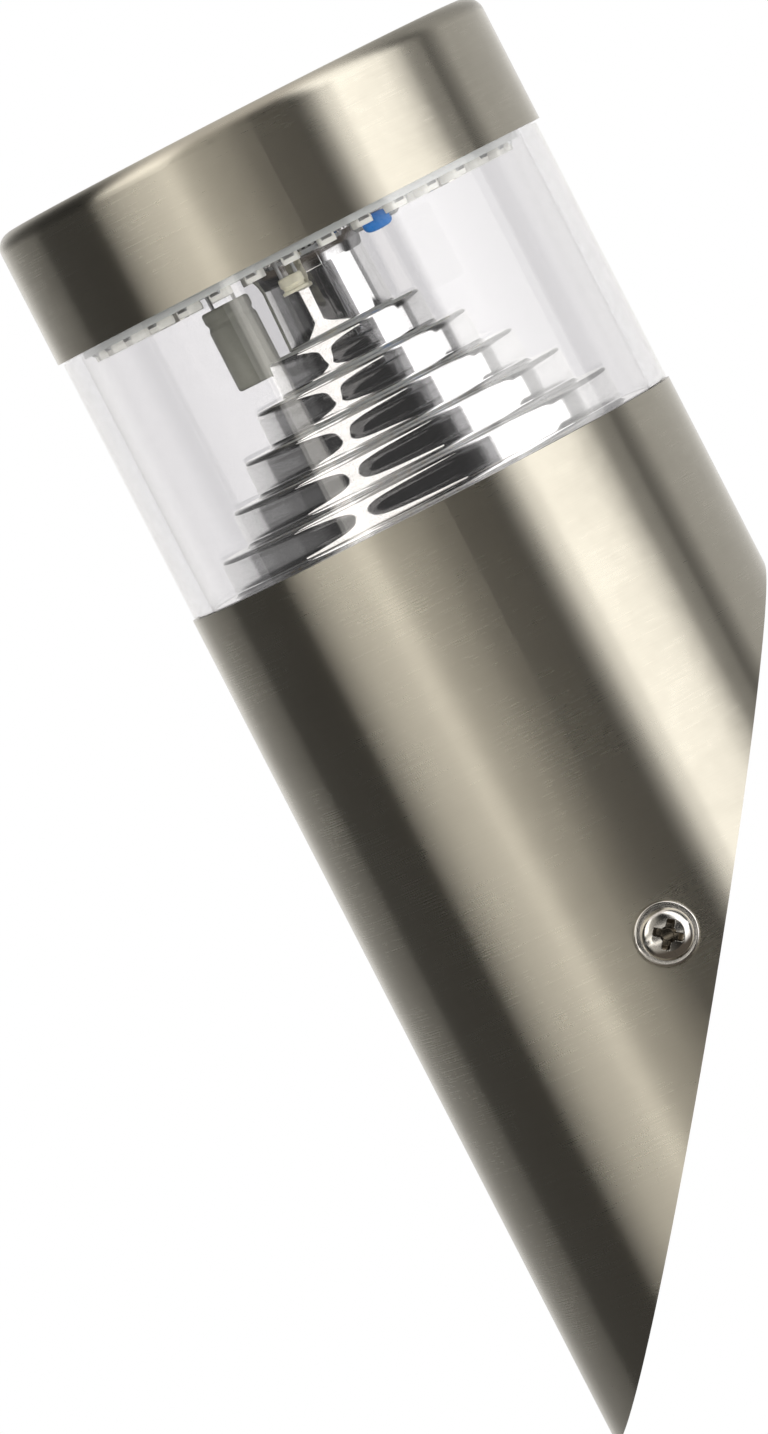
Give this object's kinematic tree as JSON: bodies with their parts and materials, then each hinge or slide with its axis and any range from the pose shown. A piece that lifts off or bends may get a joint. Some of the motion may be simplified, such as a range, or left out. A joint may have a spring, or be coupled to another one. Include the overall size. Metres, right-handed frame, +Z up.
{
  "type": "outdoor wall light",
  "caption": "Outdoor wall light: a slanted brushed steel tube cut flat to the wall, with a clear lens, a stepped bright reflector, a ring of LEDs and a steel cap.",
  "frame": {"origin": "on the wall's surface, midway between the two wall screw holes of the bracket, straight behind the line of the two side screws", "axes": "+Z up the wall, +Y into the wall, -Y out into the room or garden, +X to the lamp's right hand side, the side that the picture shows"},
  "size_m": [0.0818, 0.1144, 0.1991],
  "materials": {
    "brushed_stainless": "stainless steel with a fine satin brush, warm grey",
    "zinc_steel": "zinc plated sheet steel, dull and cool grey",
    "clear_lens": "clear thick-walled plastic, polished",
    "bright_reflector": "vacuum metallised, mirror bright",
    "silicone": "translucent white silicone",
    "black_rubber": "matt black rubber",
    "sealant": "cured grey sealant",
    "brass": "plain turned brass",
    "bright_screw": "polished stainless screw",
    "board": "glass fibre board with white solder mask",
    "led_package": "cream moulded package with a yellow phosphor window",
    "capacitor_sleeve": "shrunk dark grey sleeve with a pale stripe",
    "resistor_blue": "glossy blue lacquer",
    "suppressor_cream": "glossy cream coating",
    "black_plastic": "black moulded package",
    "film_yellow": "yellow moulded box",
    "white_plastic": "white moulded plastic",
    "brown_wire": "brown silicone insulation",
    "blue_wire": "blue silicone insulation",
    "green_wire": "green and yellow silicone insulation"
  },
  "bodies": {
    "bracket": {"wall_bracket": "zinc_steel", "cable_grommet": "black_rubber", "earth_screw": "brass"},
    "lamp": {"body_tube": "brushed_stainless", "mounting_plate": "zinc_steel", "lower_seal": "silicone", "lens": "clear_lens", "upper_seal": "silicone", "reflector": "bright_reflector", "threaded_rod": "brass", "rod_washers": "zinc_steel", "rod_nuts": "brass", "circuit_board": "board", "leds": "led_package", "reservoir_capacitor": "capacitor_sleeve", "resistor": "resistor_blue", "suppressor": "suppressor_cream", "bridge_rectifier": "black_plastic", "dropper_capacitor": "film_yellow", "board_carrier": "white_plastic", "board_screws": "bright_screw", "cap_adhesive": "sealant", "top_cap": "brushed_stainless", "terminal_block": "white_plastic", "terminal_clamps": "brass", "terminal_screws": "zinc_steel", "block_screw": "zinc_steel", "live_lead": "brown_wire", "neutral_lead": "blue_wire", "earth_lead": "green_wire", "earth_lug": "zinc_steel", "side_washers": "bright_screw", "square_nuts": "zinc_steel"},
    "screw_right": {"side_screw_right": "bright_screw"},
    "screw_left": {"side_screw_left": "bright_screw"}
  },
  "joints": [
    {"name": "lift_off", "type": "slide", "parent": "bracket", "child": "lamp", "axis": [0, -1, 0], "range_m": [0, 0.05]},
    {"name": "screw_right_out", "type": "slide", "parent": "lamp", "child": "screw_right", "axis": [1, 0, 0], "range_m": [0, 0.004]},
    {"name": "screw_left_out", "type": "slide", "parent": "lamp", "child": "screw_left", "axis": [-1, 0, 0], "range_m": [0, 0.004]}
  ]
}
